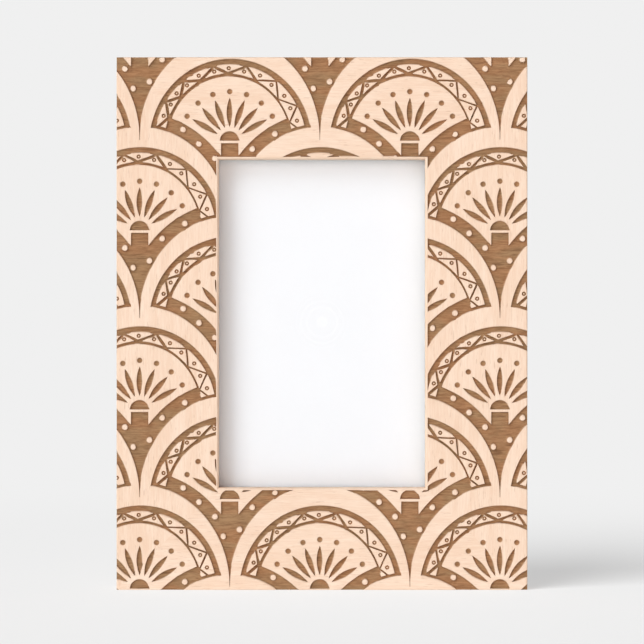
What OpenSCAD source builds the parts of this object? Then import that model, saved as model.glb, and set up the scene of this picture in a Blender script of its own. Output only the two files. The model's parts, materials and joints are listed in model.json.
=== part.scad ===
// Tabletop photo frame of solid maple, laser engraved with a scallop ornament.
// The front faces -Y, +Z is up, and the origin is the centre of the bottom edge.

/* [Frame] */
// Outer width of the frame
frame_w = 172; // [165:1:190]
// Outer height of the frame
frame_h = 223; // [215:1:240]
// Width of each rail, seen from the front
rail_w = 42.7; // [41:0.1:44]
// Thickness of the rails
frame_t = 16; // [16:0.5:20]
// Depth of the rabbet behind the front lip
rabbet_d = 9; // [9:0.1:9.4]
// Width of the rabbet, beyond the window's edge
rabbet_w = 8.3; // [7.5:0.1:9]
// Chamfer on the window edges of the front
window_chamfer = 0.6; // [0.3:0.1:0.8]
// Chamfer on the outer edges of the front
outer_chamfer = 0.4; // [0.2:0.1:0.8]

/* [Engraving] */
// Distance between two scallops of one row
scallop_pitch = 75.4; // [73:0.2:80]
// Height from one row of scallops to the next
row_step = 37.5; // [36:0.1:37.6]
// Distance from the frame's top edge down to the top of the first scallop on the middle line
first_top = 29.35; // [20:0.05:40]
// Sideways offset of the scallops from the middle line
pattern_x = -0.9; // [-3:0.1:3]
// Depth of the engraving
engrave_d = 0.9; // [0.5:0.1:1.5]
// Plain land between the engraving and the window chamfer
window_land = 0.3; // [0:0.1:2]

/* [Picture stack] */
// Thickness of the clear glazing
glazing_t = 2; // [1.5:0.1:2]
// Thickness of the blank insert card
insert_t = 0.4; // [0.2:0.1:0.4]
// Thickness of the filler board
filler_t = 3.6; // [3:0.1:3.6]
// Thickness of the back panel
panel_t = 3; // [2.5:0.1:3]

/* [Easel leg] */
// Height of the leg's hinge above the bottom edge
hinge_z = 160; // [150:1:165]
// Angle at which the open leg stops
stand_angle = 26; // [20:1:30]
// Width of the leg at its foot
leg_foot_w = 60; // [50:1:70]
// Thickness of the leg
leg_t = 2.95; // [2.5:0.05:2.95]

/* [Hidden] */
$fn = 96;

// Planes of the frame, front to back
front_y = -frame_t / 2;
back_y = frame_t / 2;
shelf_y = back_y - rabbet_d;
insert_y = shelf_y + glazing_t;
filler_y = insert_y + insert_t;
panel_y = filler_y + filler_t;

// Window and the pocket behind it
window_w = frame_w - 2 * rail_w;
window_h = frame_h - 2 * rail_w;
pocket_w = window_w + 2 * rabbet_w;
pocket_h = window_h + 2 * rabbet_w;
mid_z = frame_h / 2;
board_gap = 0.3;
print_margin = 0.8;
field_inset = window_chamfer + window_land;

// Scallop ornament. A scallop is an oval, taller than wide. Heights are from the top of its oval.
line_gap = 0.1;
oval_r = scallop_pitch / 2 - line_gap;
oval_stretch = 1.13;
oval_h = oval_r * oval_stretch;

// Rings inside the oval. Each is an ellipse about ring_z: its half height, its width over its
// height, and its centre's place across. From the crescent inwards: the crescent's inner edge, the
// border's outer and inner edges, and the fan's edge.
ring_z = -44.5;
ring_lift = 0.5;
ring = [35.85, 0.956, 0.5];
border_ring = [33, 0.961, 0.3];
inner_ring = [29.6, 0.912, -0.55];
fan_ring = [28.05, 0.92, -0.2];
fan_gap = 6.2;
border_gap = 1.5;

// Zigzag, pearls and palmette
zigzag_turns = [-83, -72.1, -61.2, -50.6, -37.2, -25.5, -12.2, 0.6, 12.7, 25.7, 37.8, 48.2, 57.9, 68.2, 78.5];
zigzag_wide_from = 5;
zigzag_wide = 1.35;
zigzag_thin = 0.85;
zigzag_overlap = 0.5;
pearl_r = 0.93;
pearl_places = [[19, -40.4], [9.5, -46.7], [4.2, -56], [-2.7, -58.9], [-6.1, -50.6], [-12.8, -44.5], [-19.4, -38.5]];
hub_z = ring_z + 1.3;
hub_r = 4.2;
petal_step = 20;
petal_start = 5.6;
petal_length = 12.6;
petal_half_w = 1.4;
stem_half_w = 3.7;
stem_gap = 0.9;
stem_length = 16;

// How far cutting shapes reach past what they cut
cut_margin = 1;

// Corner fasteners
v_nail_leg = 6.5;
v_nail_t = 0.5;
v_nail_depth = 10;
v_nail_insets = [11, 22];

// Turn buttons and their screws
button_pivot_x = pocket_w / 2 + 8.4;
button_spread_z = 46;
button_t = 1.2;
button_lift = 0.1;
button_reach = 13;
button_head_r = 4.8;
button_tip_r = 3;
button_bore_r = 1.57;
screw_r = 1.5;
screw_len = 9;
screw_head_r = 3.1;
screw_head_h = 1.7;
screw_slot_w = 0.8;
screw_slot_l = 3.4;

// Hinge
barrel_r = 2;
hinge_pin_r = 1.1;
fixed_bore_r = hinge_pin_r + 0.02;
moving_bore_r = hinge_pin_r + 0.06;
barrel_lift = 0.1;
leaf_t = 0.75;
leaf_w = 40;
knuckle_w = 16;
knuckle_gap = 0.15;
leaf_clear = 0.6;
fixed_leaf_h = 16;
leg_leaf_h = 18;
stop_w = 12;
stop_h = 8;
stop_gap = 0.05;
hinge_y = back_y + barrel_lift + barrel_r;
pin_overhang = 0.3;
pin_head_r = 1.7;
pin_head_h = 0.7;
rivet_r = 1.4;
rivet_head_r = 2.6;
rivet_head_h = 0.9;
panel_rivet_x = 13;
panel_rivet_z = hinge_z + 10;
leg_rivet_x = 11;
leg_rivet_z = hinge_z - 11;

// Easel leg
leg_lift = 0.3;
leg_y = back_y + leg_lift;
leg_top_w = 40;
leg_top_z = hinge_z - barrel_r - leaf_clear;
leg_foot_z = 3;
leg_corner_r = 6;
leg_top_edge = 1;
leg_reach = hinge_z - leg_foot_z;
lean_angle = atan2(hinge_z - leg_reach * cos(stand_angle), leg_reach * sin(stand_angle));
foot_bevel = stand_angle - lean_angle;

// Sawtooth hangers
hanger_l = 45;
hanger_h = 9;
hanger_t = 0.9;
hanger_tab = 9;
hanger_ramp = 2;
hanger_rise = 1.7;
hanger_teeth = 9;
tooth_w = 2.4;
tooth_h = 2;
portrait_hanger_z = frame_h - 14;
landscape_hanger_x = frame_w / 2 - 14;
nail_r = 0.6;
nail_len = 8;
nail_head_r = 1.7;
nail_head_h = 0.6;
nail_x = hanger_l / 2 - 4;

// Bumpers
bumper_r = 4.8;
bumper_rim = 2;
bumper_t = 5;
bumper_x = 60;
bumper_z = 9;

// Turns a drawing in the XZ plane into a plate from y to y + t.
module plate(y, t) {
    translate([0, y + t, 0]) rotate([90, 0, 0]) linear_extrude(t) children();
}

// A round bar along Y from y to y + l.
module bar_y(x, y, z, r, l) {
    translate([x, y, z]) rotate([-90, 0, 0]) cylinder(r = r, h = l);
}

// A round bar along X, centred on x = 0.
module bar_x(y, z, r, l) {
    translate([-l / 2, y, z]) rotate([0, 90, 0]) cylinder(r = r, h = l);
}

// A board that fills the picture pocket, less a gap all round.
module pocket_board(y, t, gap) {
    translate([-pocket_w / 2 + gap, y, mid_z - pocket_h / 2 + gap])
        cube([pocket_w - 2 * gap, t, pocket_h - 2 * gap]);
}

// The oval of a scallop whose top is at the origin, grown by extra all round.
module scallop_oval(extra) {
    translate([0, -oval_h]) scale([1, (oval_h + extra) / (oval_r + extra)]) circle(r = oval_r + extra);
}

// Ovals of the next row, which lie in front of a scallop whose top is at the origin.
module lower_ovals(extra) {
    for (side = [-1, 1])
        translate([side * scallop_pitch / 2, -row_step]) scallop_oval(extra);
}

// The disc inside one of the rings. lift raises the ring inside its oval.
module ring_disc(edge, lift) {
    translate([edge[2], ring_z + lift]) scale([edge[1], 1]) circle(r = edge[0]);
}

// A corner of the zigzag groove, by turns on the border's outer and inner edge.
function zigzag_corner(i) =
    let (edge = i % 2 == 0 ? border_ring : inner_ring)
    [edge[2] - edge[1] * edge[0] * sin(zigzag_turns[i]), ring_z + edge[0] * cos(zigzag_turns[i])];

// The border band between two arcs, cut into triangles by a zigzag groove.
module zigzag_border(lift) {
    difference() {
        ring_disc(border_ring, lift);
        ring_disc(inner_ring, lift);
        for (i = [0 : len(zigzag_turns) - 2]) {
            leg = zigzag_corner(i + 1) - zigzag_corner(i);
            translate(zigzag_corner(i) + leg / 2 + [0, lift]) rotate(atan2(leg[1], leg[0]))
                square([norm(leg) + zigzag_overlap, i < zigzag_wide_from ? zigzag_thin : zigzag_wide], center = true);
        }
        lower_ovals(border_gap);
    }
}

// One petal of the palmette: a lens between two arcs, pointing up from its lower tip.
module petal() {
    bow_r = (petal_length * petal_length / 4 + petal_half_w * petal_half_w) / (2 * petal_half_w);
    intersection() {
        translate([petal_half_w - bow_r, petal_length / 2]) circle(r = bow_r);
        translate([bow_r - petal_half_w, petal_length / 2]) circle(r = bow_r);
    }
}

// The palmette: petals spread over a half round hub and a straight stem.
module palmette() {
    for (i = [-3 : 3]) rotate(i * petal_step) translate([0, petal_start]) petal();
    intersection() {
        circle(r = hub_r);
        translate([-hub_r, 0]) square([2 * hub_r, hub_r]);
    }
    translate([-stem_half_w, -stem_gap - stem_length]) square([2 * stem_half_w, stem_length]);
}

// The raised fan panel, with its engraved palmette.
module fan_panel(lift) {
    difference() {
        ring_disc(fan_ring, lift);
        lower_ovals(fan_gap);
        translate([0, hub_z]) palmette();
    }
}

// Everything that the laser takes out of one scallop.
module scallop_ground(lift) {
    difference() {
        ring_disc(ring, lift);
        lower_ovals(0);
        zigzag_border(lift);
        fan_panel(lift);
        for (place = pearl_places) translate(place) circle(r = pearl_r);
    }
}

// The engraved ground inside the outline given as children. cells are the scallops that reach it.
module engraved_field(cells) {
    plate(front_y - cut_margin, cut_margin + engrave_d)
        intersection() {
            children();
            union() for (cell = cells)
                translate([pattern_x + cell[0] * scallop_pitch / 2,
                           frame_h - first_top - cell[1] * row_step])
                    scallop_ground(cell[1] < 0 ? 0 : ring_lift);
        }
}

// Front outline of a horizontal rail (drawn as the top one). extra goes past its outer edge,
// and inset stays back from its window edge.
module rail_outline(extra, inset) {
    polygon([[-frame_w / 2 - extra, frame_h + extra], [frame_w / 2 + extra, frame_h + extra],
             [window_w / 2 + inset, frame_h - rail_w + inset],
             [-window_w / 2 - inset, frame_h - rail_w + inset]]);
}

// Front outline of an upright stile (drawn as the right one).
module stile_outline(extra, inset) {
    polygon([[frame_w / 2 + extra, -extra], [frame_w / 2 + extra, frame_h + extra],
             [window_w / 2 + inset, frame_h - rail_w + inset],
             [window_w / 2 + inset, rail_w - inset]]);
}

// Chamfered section of a rail: x runs from the window to the outer edge, y from front to back.
module rail_section() {
    polygon([[0, front_y + window_chamfer], [window_chamfer, front_y],
             [rail_w - outer_chamfer, front_y], [rail_w, front_y + outer_chamfer],
             [rail_w, back_y], [rabbet_w, back_y], [rabbet_w, shelf_y], [0, shelf_y]]);
}

// A straight length of the section, standing on its window edge along +Z.
module section_bar(length) {
    translate([0, 0, -length / 2]) linear_extrude(length) rail_section();
}

// Blank of the top rail, mitred at both ends.
module rail_blank() {
    intersection() {
        translate([0, 0, frame_h - rail_w]) rotate([0, -90, 0]) section_bar(frame_w);
        plate(front_y, frame_t) rail_outline(0, 0);
    }
}

// Blank of the right stile, mitred at both ends.
module stile_blank() {
    intersection() {
        translate([window_w / 2, 0, mid_z]) section_bar(frame_h);
        plate(front_y, frame_t) stile_outline(0, 0);
    }
}

// One V nail: two legs at a right angle with the corner on the mitre, in the top right corner.
module v_nail(inset) {
    translate([frame_w / 2 - inset, back_y - v_nail_depth, frame_h - inset]) {
        translate([-v_nail_leg, 0, 0]) cube([v_nail_leg + v_nail_t, v_nail_depth, v_nail_t]);
        translate([0, 0, -v_nail_leg]) cube([v_nail_t, v_nail_depth, v_nail_leg + v_nail_t]);
    }
}

// The same place in all four corners.
module each_corner() {
    children();
    mirror([1, 0, 0]) children();
    translate([0, 0, frame_h]) mirror([0, 0, 1]) {
        children();
        mirror([1, 0, 0]) children();
    }
}

module corner_v_nails() {
    color("silver") each_corner() for (inset = v_nail_insets) v_nail(inset);
}

// Four turn button places: x and z of each pivot.
function pivot(side, level) = [side * button_pivot_x, mid_z + level * button_spread_z];

// Holes in a stile for its two turn button screws.
module screw_holes(side) {
    for (level = [-1, 1])
        bar_y(pivot(side, level)[0], back_y - screw_len, pivot(side, level)[1],
              screw_r, screw_len + cut_margin);
}

// Holes for the nails of the portrait hanger, in the top rail.
module portrait_nail_holes() {
    for (x = [-nail_x, nail_x])
        bar_y(x, back_y - nail_len, portrait_hanger_z, nail_r, nail_len + cut_margin);
}

// Holes for the nails of the landscape hanger, in the right stile.
module landscape_nail_holes() {
    for (z = [-nail_x, nail_x])
        bar_y(landscape_hanger_x, back_y - nail_len, mid_z + z, nail_r, nail_len + cut_margin);
}

// Scallops that show on each rail, as [half pitches from the middle, row steps down].
top_cells = [[-2, -2], [0, -2], [2, -2], [-3, -1], [-1, -1], [1, -1], [3, -1],
             [-2, 0], [0, 0], [2, 0]];
bottom_cells = [[-1, 3], [1, 3], [-3, 3], [3, 3], [-2, 4], [0, 4], [2, 4],
                [-1, 5], [1, 5], [-3, 5], [3, 5]];
right_cells = [[2, -2], [3, -1], [1, -1], [2, 0], [3, 1], [1, 1], [2, 2], [3, 3], [1, 3],
               [2, 4], [3, 5], [1, 5]];

module top_rail() {
    color("bisque") difference() {
        rail_blank();
        engraved_field(top_cells) rail_outline(cut_margin, field_inset);
        corner_v_nails();
        portrait_nail_holes();
    }
}

module bottom_rail() {
    color("bisque") difference() {
        translate([0, 0, frame_h]) mirror([0, 0, 1]) rail_blank();
        engraved_field(bottom_cells)
            translate([0, frame_h]) mirror([0, 1]) rail_outline(cut_margin, field_inset);
        corner_v_nails();
    }
}

module right_stile() {
    color("bisque") difference() {
        stile_blank();
        engraved_field(right_cells) stile_outline(cut_margin, field_inset);
        corner_v_nails();
        screw_holes(1);
        landscape_nail_holes();
    }
}

module left_stile() {
    color("bisque") difference() {
        mirror([1, 0, 0]) stile_blank();
        engraved_field([for (c = right_cells) [-c[0], c[1]]])
            mirror([1, 0]) stile_outline(cut_margin, field_inset);
        corner_v_nails();
        screw_holes(-1);
    }
}

module glazing() {
    color("lightcyan", 0.4) pocket_board(shelf_y, glazing_t, board_gap);
}

module insert_card() {
    color("white") pocket_board(insert_y, insert_t, print_margin);
}

module filler_board() {
    color("tan") pocket_board(filler_y, filler_t, print_margin);
}

// Panel with the two holes for its hinge rivets.
module back_panel() {
    color("#1c1b1b") difference() {
        pocket_board(panel_y, panel_t, board_gap);
        for (x = [-panel_rivet_x, panel_rivet_x])
            bar_y(x, panel_y - cut_margin, panel_rivet_z, rivet_r, panel_t + 2 * cut_margin);
    }
}

// Leaf that is riveted to the panel, with a knuckle at each end of the barrel.
module hinge_fixed_leaf() {
    side_w = (leaf_w - knuckle_w) / 2 - knuckle_gap;
    color("silver") difference() {
        union() {
            translate([-leaf_w / 2, back_y, hinge_z]) cube([leaf_w, leaf_t, fixed_leaf_h]);
            for (x = [-leaf_w / 2, leaf_w / 2 - side_w])
                translate([x, hinge_y, hinge_z]) rotate([0, 90, 0]) cylinder(r = barrel_r, h = side_w);
        }
        translate([-knuckle_w / 2 - knuckle_gap, back_y - cut_margin, hinge_z - barrel_r])
            cube([knuckle_w + 2 * knuckle_gap, leaf_t + 2 * cut_margin, 2 * barrel_r + leaf_clear]);
        bar_x(hinge_y, hinge_z, fixed_bore_r, leaf_w + 2 * cut_margin);
        for (x = [-panel_rivet_x, panel_rivet_x])
            bar_y(x, back_y - cut_margin, panel_rivet_z, rivet_r, leaf_t + 2 * cut_margin);
    }
}

module hinge_pin() {
    shank = leaf_w + 2 * pin_overhang;
    color("gray") {
        bar_x(hinge_y, hinge_z, hinge_pin_r, shank);
        for (side = [-1, 1])
            translate([side * (shank + pin_head_h) / 2 - pin_head_h / 2, hinge_y, hinge_z])
                rotate([0, 90, 0]) cylinder(r = pin_head_r, h = pin_head_h);
    }
}

// Radius of the sphere that caps a circle of radius r with a dome of height h.
function cap_radius(r, h) = (r * r + h * h) / (2 * h);

// Domed rivet head on top of y, with its shank going forward by length.
module rivet(x, y, z, length) {
    bar_y(x, y - length, z, rivet_r, length);
    dome_r = cap_radius(rivet_head_r, rivet_head_h);
    translate([x, y, z]) rotate([-90, 0, 0]) intersection() {
        translate([0, 0, rivet_head_h - dome_r]) sphere(r = dome_r);
        cylinder(r = rivet_head_r, h = rivet_head_h);
    }
}

module panel_rivets() {
    color("silver") for (x = [-panel_rivet_x, panel_rivet_x])
        rivet(x, back_y + leaf_t, panel_rivet_z, leaf_t + panel_t);
}

// Leg outline, narrow at the hinge and wide at the foot, with rounded foot corners.
module leg_outline() {
    hull() {
        translate([-leg_top_w / 2, leg_top_z - leg_top_edge]) square([leg_top_w, leg_top_edge]);
        for (side = [-1, 1])
            translate([side * (leg_foot_w / 2 - leg_corner_r), leg_foot_z + leg_corner_r])
                circle(r = leg_corner_r, $fn = 32);
    }
}

// Leg board. Its foot is bevelled so that it stands flat when open.
module easel_leg() {
    color("#1c1b1b") difference() {
        plate(leg_y, leg_t) leg_outline();
        translate([-leg_foot_w / 2 - cut_margin, leg_y + leg_t, leg_foot_z])
            rotate([-foot_bevel, 0, 0]) translate([0, -2 * leg_t, -2 * leg_t])
                cube([leg_foot_w + 2 * cut_margin, 2 * leg_t + cut_margin, 2 * leg_t]);
        for (x = [-leg_rivet_x, leg_rivet_x])
            bar_y(x, leg_y - cut_margin, leg_rivet_z, rivet_r, leg_t + 2 * cut_margin);
    }
}

// Leaf on the leg, with the middle knuckle and the tongue that stops the open leg.
module hinge_leg_leaf() {
    color("silver") difference() {
        union() {
            translate([-leaf_w / 2, leg_y + leg_t, hinge_z - leg_leaf_h])
                cube([leaf_w, leaf_t, leg_leaf_h - barrel_r - leaf_clear]);
            translate([-knuckle_w / 2, leg_y + leg_t, hinge_z - leg_leaf_h])
                cube([knuckle_w, leaf_t, leg_leaf_h]);
            bar_x(hinge_y, hinge_z, barrel_r, knuckle_w);
            translate([0, hinge_y, hinge_z]) rotate([-stand_angle, 0, 0])
                translate([-stop_w / 2, back_y + leaf_t + stop_gap - hinge_y, 0])
                    cube([stop_w, leaf_t, stop_h]);
        }
        bar_x(hinge_y, hinge_z, moving_bore_r, knuckle_w + 2 * cut_margin);
        for (x = [-leg_rivet_x, leg_rivet_x])
            bar_y(x, leg_y + leg_t - cut_margin, leg_rivet_z, rivet_r, leaf_t + 2 * cut_margin);
    }
}

module leg_rivets() {
    color("silver") for (x = [-leg_rivet_x, leg_rivet_x])
        rivet(x, leg_y + leg_t + leaf_t, leg_rivet_z, leg_t + leaf_t);
}

// Turn button that reaches over the panel's edge. side is -1 for left and 1 for right, and level
// is -1 for lower and 1 for upper.
module turn_button(side, level) {
    place = pivot(side, level);
    color("silver") difference() {
        plate(back_y + button_lift, button_t) translate(place) hull() {
            circle(r = button_head_r, $fn = 32);
            translate([-side * button_reach, 0]) circle(r = button_tip_r, $fn = 32);
        }
        bar_y(place[0], back_y, place[1], button_bore_r, button_t + 2 * cut_margin);
    }
}

module turn_button_upper_left() { turn_button(-1, 1); }
module turn_button_upper_right() { turn_button(1, 1); }
module turn_button_lower_left() { turn_button(-1, -1); }
module turn_button_lower_right() { turn_button(1, -1); }

// Round headed screw with a cross recess.
module turn_button_screws() {
    head_y = back_y + 2 * button_lift + button_t;
    color("silver") for (side = [-1, 1]) for (level = [-1, 1]) {
        place = pivot(side, level);
        difference() {
            union() {
                bar_y(place[0], back_y - screw_len, place[1], screw_r, head_y - back_y + screw_len);
                bar_y(place[0], head_y, place[1], screw_head_r, screw_head_h);
            }
            for (turn = [0, 90])
                translate([place[0], head_y + screw_head_h, place[1]]) rotate([0, turn, 0])
                    cube([screw_slot_l, screw_head_h, screw_slot_w], center = true);
        }
    }
}

// Sawtooth hanger along X: flat ends on the wood and a raised, toothed bridge.
module sawtooth_hanger() {
    end = hanger_l / 2;
    bridge = end - hanger_tab - hanger_ramp;
    difference() {
        translate([0, 0, -hanger_h / 2]) linear_extrude(hanger_h) polygon([
            [-end, 0], [-end + hanger_tab, 0], [-bridge, hanger_rise], [bridge, hanger_rise],
            [end - hanger_tab, 0], [end, 0], [end, hanger_t], [end - hanger_tab, hanger_t],
            [bridge, hanger_rise + hanger_t], [-bridge, hanger_rise + hanger_t],
            [-end + hanger_tab, hanger_t], [-end, hanger_t]]);
        for (i = [0 : hanger_teeth - 1])
            translate([(i - (hanger_teeth - 1) / 2) * tooth_w, hanger_rise - cut_margin, -hanger_h / 2])
                rotate([-90, 0, 0]) linear_extrude(hanger_t + 2 * cut_margin)
                    polygon([[-tooth_w / 2, cut_margin], [-tooth_w / 2, 0], [0, -tooth_h],
                             [tooth_w / 2, 0], [tooth_w / 2, cut_margin]]);
        for (x = [-nail_x, nail_x])
            bar_y(x, -cut_margin, 0, nail_r, hanger_t + 2 * cut_margin);
    }
}

module portrait_hanger() {
    color("silver") translate([0, back_y, portrait_hanger_z]) sawtooth_hanger();
}

module landscape_hanger() {
    color("silver") translate([landscape_hanger_x, back_y, mid_z]) rotate([0, 90, 0]) sawtooth_hanger();
}

// Flat headed nail through a hanger's tab at x, z.
module hanger_nail(x, z) {
    bar_y(x, back_y - nail_len, z, nail_r, nail_len + hanger_t);
    bar_y(x, back_y + hanger_t, z, nail_head_r, nail_head_h);
}

module hanger_nails() {
    color("gray") for (side = [-nail_x, nail_x]) {
        hanger_nail(side, portrait_hanger_z);
        hanger_nail(landscape_hanger_x, mid_z + side);
    }
}

// Domed pads, with a short straight rim.
module wall_bumpers() {
    dome_r = cap_radius(bumper_r, bumper_t - bumper_rim);
    color("dimgray") for (x = [-bumper_x, bumper_x]) intersection() {
        bar_y(x, back_y, bumper_z, bumper_r, bumper_t);
        translate([x, back_y + bumper_t - dome_r, bumper_z]) rotate([90, 0, 0]) sphere(r = dome_r);
    }
}

top_rail();
bottom_rail();
left_stile();
right_stile();
corner_v_nails();
glazing();
insert_card();
filler_board();
back_panel();
hinge_fixed_leaf();
hinge_pin();
panel_rivets();
easel_leg();
hinge_leg_leaf();
leg_rivets();
turn_button_upper_left();
turn_button_upper_right();
turn_button_lower_left();
turn_button_lower_right();
turn_button_screws();
portrait_hanger();
landscape_hanger();
hanger_nails();
wall_bumpers();
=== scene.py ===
"""Looks of the engraved picture frame: maple rails burnt by a laser, and the hardware of an easel back."""
import json
import math

import bmesh
import bpy
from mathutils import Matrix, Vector
from mathutils.bvhtree import BVHTree

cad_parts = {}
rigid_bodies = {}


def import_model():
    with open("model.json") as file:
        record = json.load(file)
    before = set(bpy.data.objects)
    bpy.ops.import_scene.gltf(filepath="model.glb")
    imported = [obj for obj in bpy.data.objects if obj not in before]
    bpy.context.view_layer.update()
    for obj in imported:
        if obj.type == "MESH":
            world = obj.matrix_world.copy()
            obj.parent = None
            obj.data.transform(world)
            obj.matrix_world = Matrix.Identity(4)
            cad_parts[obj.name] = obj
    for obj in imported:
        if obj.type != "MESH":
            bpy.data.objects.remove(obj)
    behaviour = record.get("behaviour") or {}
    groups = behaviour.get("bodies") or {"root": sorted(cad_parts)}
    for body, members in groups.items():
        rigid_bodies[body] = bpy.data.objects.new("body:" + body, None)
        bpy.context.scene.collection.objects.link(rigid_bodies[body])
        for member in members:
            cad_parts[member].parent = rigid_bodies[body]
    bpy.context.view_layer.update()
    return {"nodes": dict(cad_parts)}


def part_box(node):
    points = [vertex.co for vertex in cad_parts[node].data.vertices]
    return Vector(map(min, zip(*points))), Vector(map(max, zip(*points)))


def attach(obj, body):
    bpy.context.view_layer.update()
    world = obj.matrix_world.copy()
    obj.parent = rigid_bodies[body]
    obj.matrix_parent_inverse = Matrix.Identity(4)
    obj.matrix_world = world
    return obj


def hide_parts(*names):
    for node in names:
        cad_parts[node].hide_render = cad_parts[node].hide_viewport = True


MM = 0.001
QUARTER_TURN = (math.radians(90), 0, 0)

# Front of the frame
FRAME_W = 172 * MM
FRAME_H = 223 * MM
MID_Z = FRAME_H / 2
WINDOW_W = 86.6 * MM
WINDOW_H = 137.6 * MM
FRONT_Y = -8 * MM
ENGRAVE_D = 0.9 * MM
ENGRAVED_Y = FRONT_Y + ENGRAVE_D
FIELD_INSET = 0.9 * MM
OUTER_CHAMFER = 0.4 * MM
MITRE_LIFT = (WINDOW_H - WINDOW_W) / 2
RAILS = ("top_rail", "bottom_rail", "left_stile", "right_stile")
STILES = ("left_stile", "right_stile")

# Scallop ornament, as the construction has it. Angles are in degrees, from the ring's top to the left.
SCALLOP_PITCH = 75.4 * MM
ROW_STEP = 37.5 * MM
FIRST_TOP = 29.35 * MM
PATTERN_X = -0.9 * MM
OVAL_R = 37.6 * MM
OVAL_H = OVAL_R * 1.13
RING_Z = -44.5 * MM
RING_LIFT = 0.5 * MM
BORDER_GAP = 1.5 * MM
FAN_GAP = 6.2 * MM
HUB_Z = RING_Z + 1.3 * MM
PETAL_STEP = 20
PETALS = range(-3, 4)
ROWS = range(-2, 6)
COLUMNS = range(-4, 5)

# Ring dots in the border's triangles. The two reaches are for triangles that point in and out.
DOT_RING_X = -0.1 * MM
DOT_RING_SQUASH = 0.937
DOT_TURNS = (-72.1, -61.2, -50.6, -37.2, -25.5, -12.2, 0.6, 12.7, 25.7, 37.8, 48.2, 57.9, 68.2)
DOT_REACHES = (31.7 * MM, 31 * MM)
DOT_R = 0.6 * MM
DOT_GROOVE_R = 0.36 * MM
DOT_DEPTH = 0.6 * MM
DOT_MARGIN = 1 * MM

# Round pits over the palmette's petals
BEAD_REACH = 20.6 * MM
BEAD_R = 1.25 * MM
BEAD_DEPTH = 0.7 * MM
BEAD_MARGIN = 1.3 * MM

# How far the foot of an engraved wall moves in, by the way that the wall faces
LEFT_RUN = 1.1 * MM
RIGHT_RUN = 0.34 * MM
UP_RUN = 1.1 * MM
DOWN_RUN = 0.6 * MM
SHARP_RUN = 0.34 * MM

# A foot where walls meet moves between them. The cosine from its way to a wall's own says how sharp
# the corner is: below GENTLE_TURN it takes the sharp corner's run, and below SHARPEST_TURN it stays.
GENTLE_TURN = 0.75
SHARPEST_TURN = 0.3
# Walls at a foot that face nearly the same way, by cosine, count as one.
SAME_WAY = 0.98
LEAST_WAY = 0.2

# A foot stops short of where another wall gets nearer than its own.
NEARER_SHARE = 0.95
FOOT_SHARE = 0.8
HALVINGS = 8

# How often the floor's edges are turned, and the feet that still tangle it are pulled half way back
UNTANGLE_PASSES = 12
PULL_BACKS = 12

# Tolerances of the mesh
MERGE_GAP = 0.001 * MM
FLOOR_SLACK = 0.005 * MM
RIM_SLACK = 0.02 * MM
LEAST_GAP = 0.001 * MM
LEAST_SPEED = 0.01
UPRIGHT_TILT = 0.2
LEAST_FACE = 1e-12
LEAST_WRONG = 1e-13
LEAST_GAIN = 0.99

# Burnt wood: the depths over which it turns brown, and how near it comes to plain edges
BURN_START = 0.02 * MM
BURN_FULL = 0.55 * MM
BURN_PAST_FLOOR = 0.04 * MM
CHAMFER_SLACK = 0.05 * MM
EDGE_SLACK = 0.03 * MM

# Joint lines at the mitres, drawn only behind the engraving
SEAM_HALF_W = 0.05 * MM
SEAM_FADE = 0.22 * MM
SEAM_BEHIND = 1.5 * MM

# Softened edges of the pieces at the back
BOARD_EDGE = 0.35 * MM
LEG_EDGE = 0.4 * MM
PLATE_EDGE = 0.15 * MM
THIN_EDGE = 0.12 * MM
NAIL_EDGE = 0.1 * MM
BUTTON_EDGE = 0.2 * MM
EDGE_SEGMENTS = 2
FLAT_ANGLE = 0.5
BEVEL_ANGLE = 40
RAIL_SMOOTH_ANGLE = 30
PIECE_SMOOTH_ANGLE = 35

# Camera
CAMERA_REACH = 1.1
CAMERA_Z = 112.13 * MM
SEEN_WIDTH = 269.5 * MM
SENSOR_W = 36
CLIP_START = 0.01

# Studio. Each lamp has its level, the way it shines, its spread in degrees and its colour.
BACKGROUND = 0.871
ROOM_LIGHT = 0.06
SIDE_LAMP = (1.76, (0.72, 0.69, -0.05), 36, (0.965, 0.99, 1.03))
TOP_LAMP = (1.38, (0.38, 0.60, -0.70), 40, (0.98, 0.99, 1.02))
FILL_LAMP = (0.51, (-0.50, 0.86, -0.06), 40, (1.35, 1.0, 0.93))
BACK_LAMP = (1.8, (-0.45, -0.70, -0.55), 30, (1, 1, 1))
FLOOR_LAMP = (6.4, (0.55, 0.60, -0.58), 46, (1, 1, 1))
FLOOR_TONE = 0.25
FLOOR_GLOW = 0.54
FLOOR_SIZE = 12
FLOOR_DROP = 0.05 * MM
FLOOR_FADE = (0.3, 0.7)

# Sockets of a colour mix, which share their names with those for other kinds
MIX_FACTOR, MIX_A, MIX_B, MIX_RESULT = 0, 6, 7, 2
# Sockets of a plain number mix
NUMBER_A, NUMBER_B = 2, 3


def deselect():
    bpy.ops.object.select_all(action="DESELECT")


def pick(obj):
    deselect()
    obj.select_set(True)
    bpy.context.view_layer.objects.active = obj


def srgb(r, g, b):
    """A colour written as 0 to 255, as a shader wants it."""
    def linear(c):
        c /= 255
        return c / 12.92 if c <= 0.04045 else ((c + 0.055) / 1.055) ** 2.4
    return (linear(r), linear(g), linear(b), 1)


def add(tree, kind, **values):
    n = tree.nodes.new(kind)
    for key, value in values.items():
        setattr(n, key, value)
    return n


def feed(tree, source, target):
    """Joins an output to an input, or sets the input where source is a plain value."""
    if hasattr(source, "is_linked"):
        tree.links.new(source, target)
    else:
        target.default_value = source


def maths(tree, operation, *terms):
    n = add(tree, "ShaderNodeMath", operation=operation)
    for term, socket in zip(terms, n.inputs):
        feed(tree, term, socket)
    return n.outputs[0]


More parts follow.
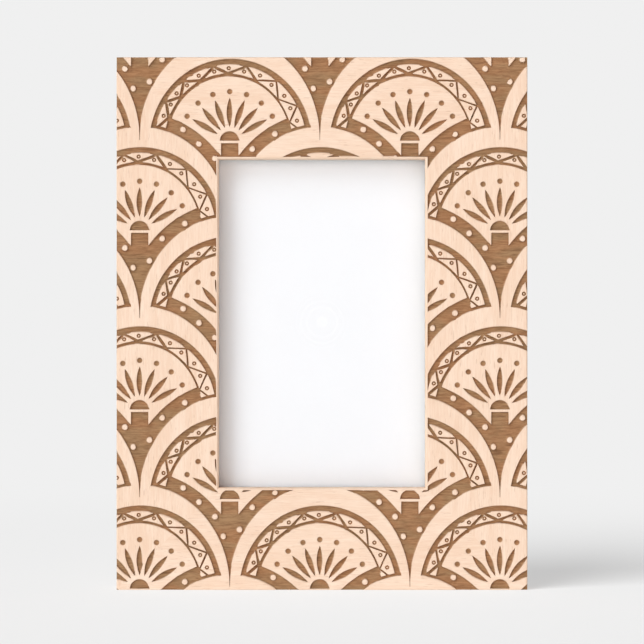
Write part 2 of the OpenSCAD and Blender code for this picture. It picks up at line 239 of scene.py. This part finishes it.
def ramp(tree, value, low, high, to_low=0.0, to_high=1.0):
    """Smooth step of value from low to high."""
    n = add(tree, "ShaderNodeMapRange", interpolation_type="SMOOTHSTEP")
    feed(tree, value, n.inputs["Value"])
    n.inputs["From Min"].default_value = low
    n.inputs["From Max"].default_value = high
    n.inputs["To Min"].default_value = to_low
    n.inputs["To Max"].default_value = to_high
    return n.outputs["Result"]


def plus(tree, a, b):
    return maths(tree, "ADD", a, b)


def minus(tree, a, b):
    return maths(tree, "SUBTRACT", a, b)


def times(tree, a, b):
    return maths(tree, "MULTIPLY", a, b)


def blend_colours(tree, factor, a, b):
    n = add(tree, "ShaderNodeMix", data_type="RGBA", blend_type="MIX")
    feed(tree, factor, n.inputs[MIX_FACTOR])
    feed(tree, a, n.inputs[MIX_A])
    feed(tree, b, n.inputs[MIX_B])
    return n.outputs[MIX_RESULT]


def stretched(tree, vector, scale, detail, roughness, distortion=0.0):
    """Noise whose pattern is scaled by three numbers, in cells per metre."""
    place = add(tree, "ShaderNodeMapping")
    feed(tree, vector, place.inputs["Vector"])
    place.inputs["Scale"].default_value = scale
    noise = add(tree, "ShaderNodeTexNoise")
    feed(tree, place.outputs["Vector"], noise.inputs["Vector"])
    noise.inputs["Scale"].default_value = 1
    noise.inputs["Detail"].default_value = detail
    noise.inputs["Roughness"].default_value = roughness
    noise.inputs["Distortion"].default_value = distortion
    return noise.outputs["Fac"]


def new_group(name, titles):
    """A node group that takes a place and puts out one number for each title."""
    tree = bpy.data.node_groups.new(name, "ShaderNodeTree")
    tree.interface.new_socket("Place", in_out="INPUT", socket_type="NodeSocketVector")
    for title in titles:
        tree.interface.new_socket(title, in_out="OUTPUT", socket_type="NodeSocketFloat")
    place = add(tree, "NodeGroupInput").outputs["Place"]
    return tree, place, add(tree, "NodeGroupOutput").inputs


def place_group(tree, group, place):
    n = add(tree, "ShaderNodeGroup", node_tree=group)
    feed(tree, place, n.inputs["Place"])
    return n.outputs


def new_material(name):
    material = bpy.data.materials.new(name)
    material.use_nodes = True
    tree = material.node_tree
    place = add(tree, "ShaderNodeTexCoord").outputs["Object"]
    return material, tree, tree.nodes["Principled BSDF"].inputs, place


def mix_over_shader(tree, factor, other):
    """Puts another shader in front of the material's own, as far as factor says."""
    mix = add(tree, "ShaderNodeMixShader")
    feed(tree, factor, mix.inputs[0])
    tree.links.new(tree.nodes["Principled BSDF"].outputs[0], mix.inputs[1])
    tree.links.new(other.outputs[0], mix.inputs[2])
    tree.links.new(mix.outputs[0], tree.nodes["Material Output"].inputs["Surface"])


def raise_bump(tree, inputs, height, distance, strength):
    bump = add(tree, "ShaderNodeBump")
    feed(tree, height, bump.inputs["Height"])
    bump.inputs["Distance"].default_value = distance
    bump.inputs["Strength"].default_value = strength
    tree.links.new(bump.outputs["Normal"], inputs["Normal"])


def wood_grain_group():
    """Fine maple grain that runs along X: tone, pores and height."""
    tree, place, out = new_group("wood grain", ["Tone", "Pores", "Height"])
    fibres = stretched(tree, place, (130, 1500, 1500), 4, 0.6, 0.3)
    bands = stretched(tree, place, (20, 200, 200), 2, 0.5, 0.6)
    tone = plus(tree, times(tree, fibres, 0.6), times(tree, bands, 0.4))
    feed(tree, ramp(tree, tone, 0.3, 0.7), out["Tone"])
    pores = ramp(tree, stretched(tree, place, (230, 1800, 1800), 2, 0.5), 0.63, 0.73)
    feed(tree, pores, out["Pores"])
    feed(tree, minus(tree, times(tree, fibres, 0.5), pores), out["Height"])
    return tree


def laser_burn_group():
    """Where the laser burnt the wood, and how: masks, streaks, tint and height."""
    tree, place, out = new_group(
        "laser burn", ["Burnt", "Seam", "Scorches", "Streaks", "Tint", "Height"])
    split = add(tree, "ShaderNodeSeparateXYZ")
    feed(tree, place, split.inputs[0])
    x, y, z = split.outputs
    along_x = maths(tree, "ABSOLUTE", x)
    along_z = maths(tree, "ABSOLUTE", minus(tree, z, MID_Z))
    beyond_window = maths(tree, "MAXIMUM", minus(tree, along_x, WINDOW_W / 2),
                          minus(tree, along_z, WINDOW_H / 2))
    within_edge = maths(tree, "MINIMUM", minus(tree, FRAME_W / 2, along_x),
                        minus(tree, MID_Z, along_z))
    depth = minus(tree, y, FRONT_Y)
    burnt = ramp(tree, depth, BURN_START, BURN_FULL)
    from_chamfer = plus(tree, depth, within_edge)
    for mask in (maths(tree, "GREATER_THAN", from_chamfer, OUTER_CHAMFER + CHAMFER_SLACK),
                 maths(tree, "LESS_THAN", depth, ENGRAVE_D + BURN_PAST_FLOOR),
                 maths(tree, "GREATER_THAN", beyond_window, FIELD_INSET - EDGE_SLACK),
                 maths(tree, "GREATER_THAN", within_edge, EDGE_SLACK)):
        burnt = times(tree, burnt, mask)
    feed(tree, burnt, out["Burnt"])
    from_mitre = maths(tree, "ABSOLUTE", minus(tree, minus(tree, along_z, along_x), MITRE_LIFT))
    seam = times(tree, ramp(tree, from_mitre, SEAM_FADE, SEAM_HALF_W),
                 maths(tree, "GREATER_THAN", depth, SEAM_BEHIND))
    feed(tree, seam, out["Seam"])
    lines = stretched(tree, place, (170, 300, 1500), 5, 0.75, 0.2)
    patches = stretched(tree, place, (80, 300, 420), 3, 0.6, 0.5)
    streaks = plus(tree, times(tree, lines, 0.75), times(tree, patches, 0.25))
    feed(tree, ramp(tree, streaks, 0.36, 0.64), out["Streaks"])
    scorches = stretched(tree, place, (130, 300, 1150), 1, 0.5, 0.3)
    feed(tree, ramp(tree, scorches, 0.62, 0.72), out["Scorches"])
    tint = stretched(tree, place, (45, 200, 160), 2, 0.5, 0.8)
    feed(tree, ramp(tree, tint, 0.35, 0.65), out["Tint"])
    feed(tree, lines, out["Height"])
    return tree


def fine_wear_group():
    """Hairlines and soft smudges of handled metal."""
    tree, place, out = new_group("fine wear", ["Hairlines", "Smudges"])
    one_way = stretched(tree, place, (300, 4200, 4200), 2, 0.5, 0.4)
    other_way = stretched(tree, place, (4200, 300, 500), 2, 0.5, 0.6)
    lines = maths(tree, "MAXIMUM", ramp(tree, one_way, 0.62, 0.72), ramp(tree, other_way, 0.64, 0.74))
    feed(tree, lines, out["Hairlines"])
    feed(tree, ramp(tree, stretched(tree, place, (90, 90, 90), 3, 0.5), 0.35, 0.7), out["Smudges"])
    return tree


def maple(name, upright, grain, burn):
    """Bare sanded maple, burnt brown where it is engraved."""
    material, tree, inputs, place = new_material(name)
    turned = add(tree, "ShaderNodeMapping")
    feed(tree, place, turned.inputs["Vector"])
    if upright:
        turned.inputs["Rotation"].default_value = (0, math.radians(90), 0)
    wood = place_group(tree, grain, turned.outputs["Vector"])
    laser = place_group(tree, burn, place)
    clean = blend_colours(tree, wood["Tone"], srgb(240, 208, 180), srgb(250, 226, 203))
    clean = blend_colours(tree, times(tree, wood["Pores"], 0.45), clean, srgb(214, 178, 148))
    clean = blend_colours(tree, times(tree, laser["Seam"], 0.7), clean, srgb(150, 110, 78))
    char = blend_colours(tree, laser["Streaks"], srgb(137, 104, 72), srgb(172, 136, 98))
    warm = blend_colours(tree, laser["Streaks"], srgb(142, 100, 66), srgb(177, 132, 93))
    char = blend_colours(tree, laser["Tint"], char, warm)
    char = blend_colours(tree, times(tree, laser["Scorches"], 0.5), char, srgb(108, 70, 44))
    feed(tree, blend_colours(tree, laser["Burnt"], clean, char), inputs["Base Color"])
    feed(tree, plus(tree, 0.52, times(tree, laser["Burnt"], 0.3)), inputs["Roughness"])
    inputs["Specular IOR Level"].default_value = 0.25
    burnt_height = times(tree, times(tree, laser["Burnt"], laser["Height"]), 3.0)
    raise_bump(tree, inputs, plus(tree, wood["Height"], burnt_height), 0.05 * MM, 0.5)
    return material


def plated_metal(name, colour, roughness, wear):
    """Bright metal, dulled a little by hairlines and smudges."""
    material, tree, inputs, place = new_material(name)
    marks = place_group(tree, wear, place)
    dull = plus(tree, times(tree, marks["Smudges"], 0.3), times(tree, marks["Hairlines"], 0.25))
    feed(tree, blend_colours(tree, dull, colour, srgb(128, 125, 119)), inputs["Base Color"])
    inputs["Metallic"].default_value = 1
    feed(tree, plus(tree, roughness, times(tree, dull, 0.25)), inputs["Roughness"])
    raise_bump(tree, inputs, times(tree, marks["Hairlines"], -1.0), 0.01 * MM, 0.4)
    return material


def clear_acrylic():
    """Clear sheet: a plain glassy shader, which lets the light of the lamps straight through."""
    material, tree, inputs, _ = new_material("clear acrylic")
    inputs["Base Color"].default_value = (1, 1, 1, 1)
    inputs["Transmission Weight"].default_value = 1
    inputs["IOR"].default_value = 1.49
    inputs["Specular IOR Level"].default_value = 0.25
    inputs["Roughness"].default_value = 0.0
    light = add(tree, "ShaderNodeLightPath").outputs
    clear = add(tree, "ShaderNodeBsdfTransparent")
    clear.inputs["Color"].default_value = (1, 1, 1, 1)
    mix_over_shader(tree, maths(tree, "MAXIMUM", light["Is Shadow Ray"], light["Is Diffuse Ray"]), clear)
    return material


def white_card():
    """Smooth uncoated card with a faint tooth."""
    material, tree, inputs, place = new_material("white card")
    tooth = stretched(tree, place, (1900, 1900, 1900), 3, 0.6)
    feed(tree, blend_colours(tree, tooth, srgb(247, 250, 252), srgb(250, 253, 254)), inputs["Base Color"])
    inputs["Roughness"].default_value = 0.85
    inputs["Specular IOR Level"].default_value = 0.2
    raise_bump(tree, inputs, tooth, 0.01 * MM, 0.3)
    return material


def grey_board():
    """Pressed board of waste paper, with fibres and dark specks."""
    material, tree, inputs, place = new_material("grey board")
    fibres = stretched(tree, place, (900, 900, 400), 5, 0.65)
    specks = ramp(tree, stretched(tree, place, (2200, 2200, 1500), 1, 0.5), 0.68, 0.74)
    body = blend_colours(tree, fibres, srgb(160, 150, 138), srgb(186, 177, 165))
    feed(tree, blend_colours(tree, specks, body, srgb(110, 102, 94)), inputs["Base Color"])
    inputs["Roughness"].default_value = 0.9
    raise_bump(tree, inputs, fibres, 0.05 * MM, 0.5)
    return material


def embossed_paper():
    """Black paper with a fine leather-like emboss, as faced on easel backs."""
    material, tree, inputs, place = new_material("black embossed paper")
    cells = add(tree, "ShaderNodeTexVoronoi", feature="SMOOTH_F1")
    cells.inputs["Scale"].default_value = 850
    cells.inputs["Smoothness"].default_value = 0.5
    feed(tree, place, cells.inputs["Vector"])
    wander = stretched(tree, place, (700, 700, 700), 3, 0.6)
    height = plus(tree, cells.outputs["Distance"], times(tree, wander, 0.6))
    dust = ramp(tree, stretched(tree, place, (60, 60, 60), 5, 0.7), 0.45, 0.75)
    rubbed = times(tree, dust, 0.3)
    feed(tree, blend_colours(tree, rubbed, srgb(30, 29, 29), srgb(56, 54, 52)), inputs["Base Color"])
    feed(tree, plus(tree, 0.4, times(tree, dust, 0.2)), inputs["Roughness"])
    inputs["Specular IOR Level"].default_value = 0.5
    raise_bump(tree, inputs, height, 0.25 * MM, 1.0)
    return material


def soft_rubber():
    """Matt rubber with a pale bloom."""
    material, tree, inputs, place = new_material("grey rubber")
    bloom = stretched(tree, place, (500, 500, 500), 4, 0.6)
    feed(tree, blend_colours(tree, bloom, srgb(92, 92, 94), srgb(112, 112, 114)), inputs["Base Color"])
    inputs["Roughness"].default_value = 0.62
    raise_bump(tree, inputs, bloom, 0.02 * MM, 0.4)
    return material


def own_copy(node_name, name, body):
    """A new piece that starts as a node's own mesh, with its doubles merged, and stands for that node."""
    source = frame["nodes"][node_name]
    mesh = source.data.copy()
    mesh.name = name
    piece = bpy.data.objects.new(name, mesh)
    bpy.context.scene.collection.objects.link(piece)
    mesh.materials.clear()
    pick(piece)
    bpy.ops.object.mode_set(mode="EDIT")
    bpy.ops.mesh.select_all(action="SELECT")
    bpy.ops.mesh.remove_doubles(threshold=MERGE_GAP)
    bpy.ops.object.mode_set(mode="OBJECT")
    if mesh.has_custom_normals:
        bpy.ops.mesh.customdata_custom_splitnormals_clear()
    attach(piece, body)
    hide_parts(node_name)
    return piece


def round_edges(piece, width):
    """Softens a piece's sharp edges, as stamping, rolling or sanding leaves them."""
    pick(piece)
    bpy.ops.object.mode_set(mode="EDIT")
    bpy.ops.mesh.select_all(action="SELECT")
    bpy.ops.mesh.dissolve_limited(angle_limit=math.radians(FLAT_ANGLE))
    bpy.ops.object.mode_set(mode="OBJECT")
    bevel = piece.modifiers.new("soft edges", "BEVEL")
    bevel.width = width
    bevel.segments = EDGE_SEGMENTS
    bevel.limit_method = "ANGLE"
    bevel.angle_limit = math.radians(BEVEL_ANGLE)
    bevel.use_clamp_overlap = True
    bpy.ops.object.modifier_apply(modifier=bevel.name)
    bpy.ops.object.shade_smooth_by_angle(angle=math.radians(PIECE_SMOOTH_ANGLE))


def outside_ovals(x, z, gap):
    """Whether a point, from its scallop's top, clears the next row's ovals grown by gap."""
    for side in (-1, 1):
        across = (x - side * SCALLOP_PITCH / 2) / (OVAL_R + gap)
        up = (z + ROW_STEP + OVAL_H) / (OVAL_H + gap)
        if across * across + up * up < 1:
            return False
    return True


def in_field(x, z, margin):
    """Whether a point of the front lies on the rails, margin clear of the window's plain edge."""
    beyond = max(abs(x) - WINDOW_W / 2, abs(z - MID_Z) - WINDOW_H / 2)
    on_front = abs(x) < FRAME_W / 2 + margin and -margin < z < FRAME_H + margin
    return on_front and beyond > FIELD_INSET + margin


def ornament_marks():
    """Places of the ring dots and of the palmette beads over the whole front."""
    dots = []
    beads = []
    for row in ROWS:
        for column in COLUMNS:
            if (row + column) % 2:
                continue
            top_x = PATTERN_X + column * SCALLOP_PITCH / 2
            top_z = FRAME_H - FIRST_TOP - row * ROW_STEP
            lift = 0 if row < 0 else RING_LIFT
            for i, degrees in enumerate(DOT_TURNS):
                turn, reach = math.radians(degrees), DOT_REACHES[i % 2]
                x = DOT_RING_X - DOT_RING_SQUASH * reach * math.sin(turn)
                z = RING_Z + lift + reach * math.cos(turn)
                if outside_ovals(x, z, BORDER_GAP + DOT_R) and in_field(top_x + x, top_z + z, DOT_R):
                    dots.append((top_x + x, top_z + z))
            for i in PETALS:
                turn = math.radians(i * PETAL_STEP)
                x, z = -BEAD_REACH * math.sin(turn), HUB_Z + BEAD_REACH * math.cos(turn)
                if outside_ovals(x, z, FAN_GAP + BEAD_R) and in_field(top_x + x, top_z + z, BEAD_R):
                    beads.append((top_x + x, top_z + z))
    return dots, beads


def near_rail(box, x, z, margin):
    """Whether a mark on the front reaches a rail's box."""
    low, high = box
    return low.x - margin < x < high.x + margin and low.z - margin < z < high.z + margin


def punch(name, tool, places):
    """One object of many copies of a tool, each centred on the front face."""
    b = bmesh.new()
    for x, z in places:
        start = len(b.verts)
        b.from_mesh(tool.data)
        b.verts.ensure_lookup_table()
        bmesh.ops.translate(b, verts=b.verts[start:], vec=(x, FRONT_Y, z))
    mesh = bpy.data.meshes.new(name)
    b.to_mesh(mesh)
    b.free()
    cutter = bpy.data.objects.new(name, mesh)
    bpy.context.scene.collection.objects.link(cutter)
    return cutter


def to_depth(depth, radius):
    """The tool just made, squashed so that its half thickness is depth in place of radius."""
    tool = bpy.context.object
    tool.scale = (1, 1, depth / radius)
    bpy.ops.object.transform_apply(location=False, rotation=True, scale=True)
    return tool


def ring_tool():
    """What cuts one ring dot."""
    deselect()
    bpy.ops.mesh.primitive_torus_add(
        major_radius=DOT_R, minor_radius=DOT_GROOVE_R, major_segments=20, minor_segments=8,
        rotation=QUARTER_TURN)
    return to_depth(DOT_DEPTH, DOT_GROOVE_R)


def bead_tool():
    """What cuts one round pit."""
    deselect()
    bpy.ops.mesh.primitive_uv_sphere_add(
        segments=20, ring_count=10, radius=BEAD_R, rotation=QUARTER_TURN)
    return to_depth(BEAD_DEPTH, BEAD_R)


def put_in_order(mesh):
    """Lists points and faces by where they lie, because a cut leaves them in another order each run."""
    points = [tuple(v.co) for v in mesh.vertices]
    order = sorted(range(len(points)), key=points.__getitem__)
    rank = {old: new for new, old in enumerate(order)}
    faces = []
    for polygon in mesh.polygons:
        corners = [rank[i] for i in polygon.vertices]
        first = corners.index(min(corners))
        faces.append(corners[first:] + corners[:first])
    mesh.clear_geometry()
    mesh.from_pydata([points[i] for i in order], [], sorted(faces))


def cut(piece, cutter):
    """Takes a cutter out of a piece, and does away with the cutter."""
    pick(piece)
    boolean = piece.modifiers.new("engrave", "BOOLEAN")
    boolean.operation = "DIFFERENCE"
    boolean.solver = "EXACT"
    boolean.object = cutter
    bpy.ops.object.modifier_apply(modifier=boolean.name)
    put_in_order(piece.data)
    bpy.data.objects.remove(cutter, do_unlink=True)


def on_rim(face):
    """Whether a face lies on the frame's outer sides or on a mitre, where the engraving runs out."""
    points = [v.co for v in face.verts]
    if all(abs(p.x) > FRAME_W / 2 - RIM_SLACK for p in points):
        return True
    if all(abs(p.z - MID_Z) > MID_Z - RIM_SLACK for p in points):
        return True
    return all(abs(abs(p.z - MID_Z) - abs(p.x) - MITRE_LIFT) < RIM_SLACK for p in points)


def room_to_rim(point, way):
    """How far a point of the engraved floor can go along way before it leaves its own rail."""
    side_x = math.copysign(1, point.x)
    side_z = math.copysign(1, point.z - MID_Z)
    x, z = side_x * point.x, side_z * (point.z - MID_Z)
    go_x, go_z = side_x * way.x, side_z * way.z
    mitre = z - x - MITRE_LIFT
    to_mitre = math.copysign(1, mitre) * (go_x - go_z)
    nearest = math.inf
    for gap, speed in ((FRAME_W / 2 - x, go_x), (MID_Z - z, go_z), (abs(mitre), to_mitre)):
        if gap > LEAST_GAP and speed > LEAST_SPEED:
            nearest = min(nearest, gap / speed)
    return nearest


def clear_of_walls(walls, point, gap):
    """Whether no wall is clearly nearer to a point than gap."""
    return walls.find_nearest(point, NEARER_SHARE * gap)[0] is None


def room_to_lean(walls, point, way, steep, reach):
    """The furthest that a wall's foot can go along way before another wall is nearer than its own."""
    if clear_of_walls(walls, point + way * reach, reach * steep):
        return reach
    low, high = 0.0, reach
    for _ in range(HALVINGS):
        middle = (low + high) / 2
        if clear_of_walls(walls, point + way * middle, middle * steep):
            low = middle
        else:
            high = middle
    return FOOT_SHARE * low


def on_floor(v):
    return abs(v.co.y - ENGRAVED_Y) <= FLOOR_SLACK


def wrong_area(a, b, c):
    """The area of a floor triangle that lies the wrong way up, or 0 of one that lies right."""
    return max(0.0, (b - a).cross(c - a).y) / 2


def wrong_floor(b):
    """The floor triangles that lie the wrong way up, and so over their neighbours."""
    wrong = []
    for f in b.faces:
        if len(f.verts) == 3 and all(on_floor(v) for v in f.verts):
            if wrong_area(*(v.co for v in f.verts)) > LEAST_WRONG:
                wrong.append(f)
    return wrong


def untangle_floor(b):
    """Turns edges between floor triangles while that leaves less of the floor the wrong way up."""
    for _ in range(UNTANGLE_PASSES):
        turned = False
        for edge in [e for f in wrong_floor(b) for e in f.edges]:
            if not edge.is_valid or len(edge.link_faces) != 2:
                continue
            corners = [v for f in edge.link_faces for v in f.verts]
            if len(corners) != 6 or not all(on_floor(v) for v in corners):
                continue
            one, other = edge.link_loops
            start, end = one.vert.co, one.link_loop_next.vert.co
            left, right = one.link_loop_prev.vert.co, other.link_loop_prev.vert.co
            now = wrong_area(start, end, left) + wrong_area(end, start, right)
            then = wrong_area(start, right, left) + wrong_area(right, end, left)
            if now > LEAST_WRONG and then < LEAST_GAIN * now:
                turned = bmesh.utils.edge_rotate(edge, False) is not None or turned
        if not turned:
            break


def engraved_walls(b):
    """The walls of the engraving, for finding the one nearest to a point."""
    sides = bmesh.new()
    for f in b.faces:
        from_front = abs(f.calc_center_median().y - FRONT_Y)
        if abs(f.normal.y) < UPRIGHT_TILT and not on_rim(f) and from_front < ENGRAVE_D:
            sides.faces.new([sides.verts.new(v.co) for v in f.verts])
    walls = BVHTree.FromBMesh(sides)
    sides.free()
    return walls


def walls_at(v):
    """The ways that the walls at a foot face: first the engraved walls, then the rail's own sides."""
    leans, edges = [], []
    for f in v.link_faces:
        if abs(f.normal.y) > UPRIGHT_TILT or f.calc_area() < LEAST_FACE:
            continue
        group = edges if on_rim(f) else leans
        if all(f.normal.dot(n) < SAME_WAY for n in group):
            group.append(f.normal.copy())
    return leans, edges


def facing_run(way):
    """How far the foot of a wall that faces along way moves."""
    across = LEFT_RUN if way.x < 0 else RIGHT_RUN
    upright = UP_RUN if way.z > 0 else DOWN_RUN
    return way.x ** 2 * across + way.z ** 2 * upright


def foot_move(v, walls):
    """How an engraved wall's foot moves, or None where it stays."""
    leans, edges = walls_at(v)
    if not leans or len(edges) > 1:
        return None
    way = sum(leans, Vector())
    way.y = 0
    for n in edges:
        way -= n * way.dot(n)
    if way.length < LEAST_WAY:
        return None
    way.normalize()
    steep = min(way.dot(n) for n in leans)
    if steep < SHARPEST_TURN:
        return None
    run = facing_run(way) if steep > GENTLE_TURN else SHARP_RUN
    reach = min(run / max(GENTLE_TURN, steep), room_to_rim(v.co, way))
    middle = v.co - Vector((0, ENGRAVE_D / 2, 0))
    return way * room_to_lean(walls, middle, way, steep, reach)


def lean_walls(piece):
    """Slopes a rail's engraved walls: the foot of each moves into its recess, and the floor stays flat."""
    b = bmesh.new()
    b.from_mesh(piece.data)
    b.normal_update()
    walls = engraved_walls(b)
    moves = {}
    for v in b.verts:
        if on_floor(v):
            move = foot_move(v, walls)
            if move is not None:
                moves[v] = move
    for v, move in moves.items():
        v.co += move
    for _ in range(PULL_BACKS):
        untangle_floor(b)
        wrong = dict.fromkeys(v for f in wrong_floor(b) for v in f.verts)
        feet = [v for v in wrong if v in moves]
        if not feet:
            break
        for v in feet:
            moves[v] /= 2
            v.co -= moves[v]
    untangle_floor(b)
    b.to_mesh(piece.data)
    b.free()


def engraved_rails(materials):
    """The four rails, with their dots and pits cut and their engraved walls sloped."""
    dots, beads = ornament_marks()
    ring, bead = ring_tool(), bead_tool()
    for node_name in RAILS:
        rail = own_copy(node_name, "engraved_" + node_name, "frame")
        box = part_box(node_name)
        near_dots = [(x, z) for x, z in dots if near_rail(box, x, z, DOT_MARGIN)]
        near_beads = [(x, z) for x, z in beads if near_rail(box, x, z, BEAD_MARGIN)]
        cut(rail, punch("ring dots", ring, near_dots))
        cut(rail, punch("beads", bead, near_beads))
        lean_walls(rail)
        rail.data.materials.clear()
        rail.data.materials.append(materials["upright maple" if node_name in STILES else "level maple"])
        pick(rail)
        bpy.ops.object.shade_smooth_by_angle(angle=math.radians(RAIL_SMOOTH_ANGLE))
    bpy.data.objects.remove(ring, do_unlink=True)
    bpy.data.objects.remove(bead, do_unlink=True)


def hardware(materials):
    """The pieces at the back, each with its edges softened."""
    plate = materials["nickel plate"]
    wire = materials["bright steel"]
    board = materials["black embossed paper"]
    rounded = [
        ("back_panel", "frame", "black_board", board, BOARD_EDGE),
        ("easel_leg", "leg", "black_board", board, LEG_EDGE),
        ("hinge_fixed_leaf", "frame", "plated_steel", plate, PLATE_EDGE),
        ("hinge_leg_leaf", "leg", "plated_steel", plate, PLATE_EDGE),
        ("hinge_pin", "frame", "fastener_steel", wire, PLATE_EDGE),
        ("panel_rivets", "frame", "plated_steel", plate, PLATE_EDGE),
        ("leg_rivets", "leg", "plated_steel", plate, PLATE_EDGE),
        ("turn_button_screws", "frame", "plated_steel", plate, THIN_EDGE),
        ("portrait_hanger", "frame", "plated_steel", plate, THIN_EDGE),
        ("landscape_hanger", "frame", "plated_steel", plate, THIN_EDGE),
        ("hanger_nails", "frame", "fastener_steel", wire, NAIL_EDGE),
    ]
    for level in ("upper", "lower"):
        for side in ("left", "right"):
            button = f"turn_button_{level}_{side}"
            rounded.append((button, button.replace("turn_", ""), "plated_steel", plate, BUTTON_EDGE))
    for node_name, body, slot, material, width in rounded:
        piece = own_copy(node_name, "soft_" + node_name, body)
        round_edges(piece, width)
        piece.data.materials.clear()
        piece.data.materials.append(material)


def dress_nodes(materials):
    """Finishes of the nodes that stay as they are."""
    for node_name, material in (("glazing", "clear acrylic"), ("insert_card", "white card"),
                                ("filler_board", "grey board"), ("corner_v_nails", "bright steel"),
                                ("wall_bumpers", "grey rubber")):
        mesh = frame["nodes"][node_name].data
        for i in range(len(mesh.materials)):
            mesh.materials[i] = materials[material]


def camera():
    """Straight in front of the frame."""
    deselect()
    place = (0, FRONT_Y - CAMERA_REACH, CAMERA_Z)
    bpy.ops.object.camera_add(location=place, rotation=QUARTER_TURN)
    seen = bpy.context.object
    seen.data.sensor_width = SENSOR_W
    seen.data.lens = SENSOR_W * CAMERA_REACH / SEEN_WIDTH
    seen.data.clip_start = CLIP_START
    bpy.context.scene.camera = seen


def seen_directly(tree):
    """1 for rays that show the background: camera, mirror and glass."""
    light = add(tree, "ShaderNodeLightPath").outputs
    return maths(tree, "MAXIMUM", light["Is Camera Ray"],
                 maths(tree, "MAXIMUM", light["Is Glossy Ray"], light["Is Transmission Ray"]))


def floor():
    """Pale floor that keeps the shadow near the frame and fades into the background."""
    deselect()
    bpy.ops.mesh.primitive_plane_add(size=FLOOR_SIZE, location=(0, 0, -FLOOR_DROP))
    ground = bpy.context.object
    ground.name = "floor"
    material, tree, inputs, place = new_material("pale floor")
    inputs["Base Color"].default_value = (FLOOR_TONE, FLOOR_TONE, FLOOR_TONE, 1)
    inputs["Roughness"].default_value = 1
    inputs["Specular IOR Level"].default_value = 0
    far = add(tree, "ShaderNodeVectorMath", operation="LENGTH")
    feed(tree, place, far.inputs[0])
    fade = ramp(tree, far.outputs["Value"], *FLOOR_FADE)
    inputs["Emission Color"].default_value = (1, 1, 1, 1)
    inputs["Emission Strength"].default_value = FLOOR_GLOW
    glow = add(tree, "ShaderNodeEmission")
    glow.inputs["Color"].default_value = (BACKGROUND, BACKGROUND, BACKGROUND, 1)
    mix_over_shader(tree, times(tree, fade, seen_directly(tree)), glow)
    ground.data.materials.append(material)
    return ground


def world():
    """Flat pale background, dim room light, and broad soft boxes for the metal to mirror."""
    room = bpy.data.worlds.new("studio")
    room.use_nodes = True
    bpy.context.scene.world = room
    tree = room.node_tree
    shown = tree.nodes["Background"]
    way = add(tree, "ShaderNodeSeparateXYZ")
    feed(tree, add(tree, "ShaderNodeTexCoord").outputs["Generated"], way.inputs[0])
    x, y, z = way.outputs
    around = plus(tree, times(tree, x, 0.8), times(tree, z, 0.6))
    boxes = ramp(tree, maths(tree, "SINE", times(tree, around, 9.0)), -0.3, 0.5, 0.16, 1.0)
    glossy = add(tree, "ShaderNodeLightPath").outputs["Is Glossy Ray"]
    plain = add(tree, "ShaderNodeMix", data_type="FLOAT")
    feed(tree, times(tree, glossy, ramp(tree, y, 0.0, 0.3)), plain.inputs[MIX_FACTOR])
    feed(tree, BACKGROUND, plain.inputs[NUMBER_A])
    feed(tree, boxes, plain.inputs[NUMBER_B])
    shown.inputs["Color"].default_value = (1, 1, 1, 1)
    feed(tree, plain.outputs[0], shown.inputs["Strength"])
    soft = add(tree, "ShaderNodeBackground")
    soft.inputs["Color"].default_value = (1, 1, 1, 1)
    soft.inputs["Strength"].default_value = ROOM_LIGHT
    mix = add(tree, "ShaderNodeMixShader")
    feed(tree, seen_directly(tree), mix.inputs[0])
    tree.links.new(soft.outputs[0], mix.inputs[1])
    tree.links.new(shown.outputs[0], mix.inputs[2])
    tree.links.new(mix.outputs[0], tree.nodes["World Output"].inputs["Surface"])


def lamp(name, level, way, spread, colour, ground, floor_only):
    """A broad, far lamp that shines along way, either on the floor alone or on all but the floor."""
    deselect()
    bpy.ops.object.light_add(type="SUN", rotation=Vector(way).to_track_quat("-Z", "Y").to_euler())
    light = bpy.context.object
    light.name = name
    light.data.energy = level
    light.data.angle = math.radians(spread)
    light.data.color = colour
    lit = bpy.data.collections.new("lit by " + name)
    lit.objects.link(ground)
    light.light_linking.receiver_collection = lit
    lit.collection_objects[0].light_linking.link_state = "INCLUDE" if floor_only else "EXCLUDE"


for start_object in list(bpy.data.objects):
    bpy.data.objects.remove(start_object, do_unlink=True)

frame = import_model()

grain = wood_grain_group()
burn = laser_burn_group()
wear = fine_wear_group()
finishes = {
    "level maple": maple("level maple", False, grain, burn),
    "upright maple": maple("upright maple", True, grain, burn),
    "nickel plate": plated_metal("nickel plate", srgb(190, 186, 178), 0.22, wear),
    "bright steel": plated_metal("bright steel", srgb(166, 167, 170), 0.3, wear),
    "clear acrylic": clear_acrylic(),
    "white card": white_card(),
    "grey board": grey_board(),
    "black embossed paper": embossed_paper(),
    "grey rubber": soft_rubber(),
}

engraved_rails(finishes)
hardware(finishes)
dress_nodes(finishes)
camera()
ground = floor()
world()
lamp("side lamp", *SIDE_LAMP, ground, False)
lamp("top lamp", *TOP_LAMP, ground, False)
lamp("fill lamp", *FILL_LAMP, ground, False)
lamp("back lamp", *BACK_LAMP, ground, False)
lamp("floor lamp", *FLOOR_LAMP, ground, True)
bpy.context.scene.view_settings.view_transform = "Standard"
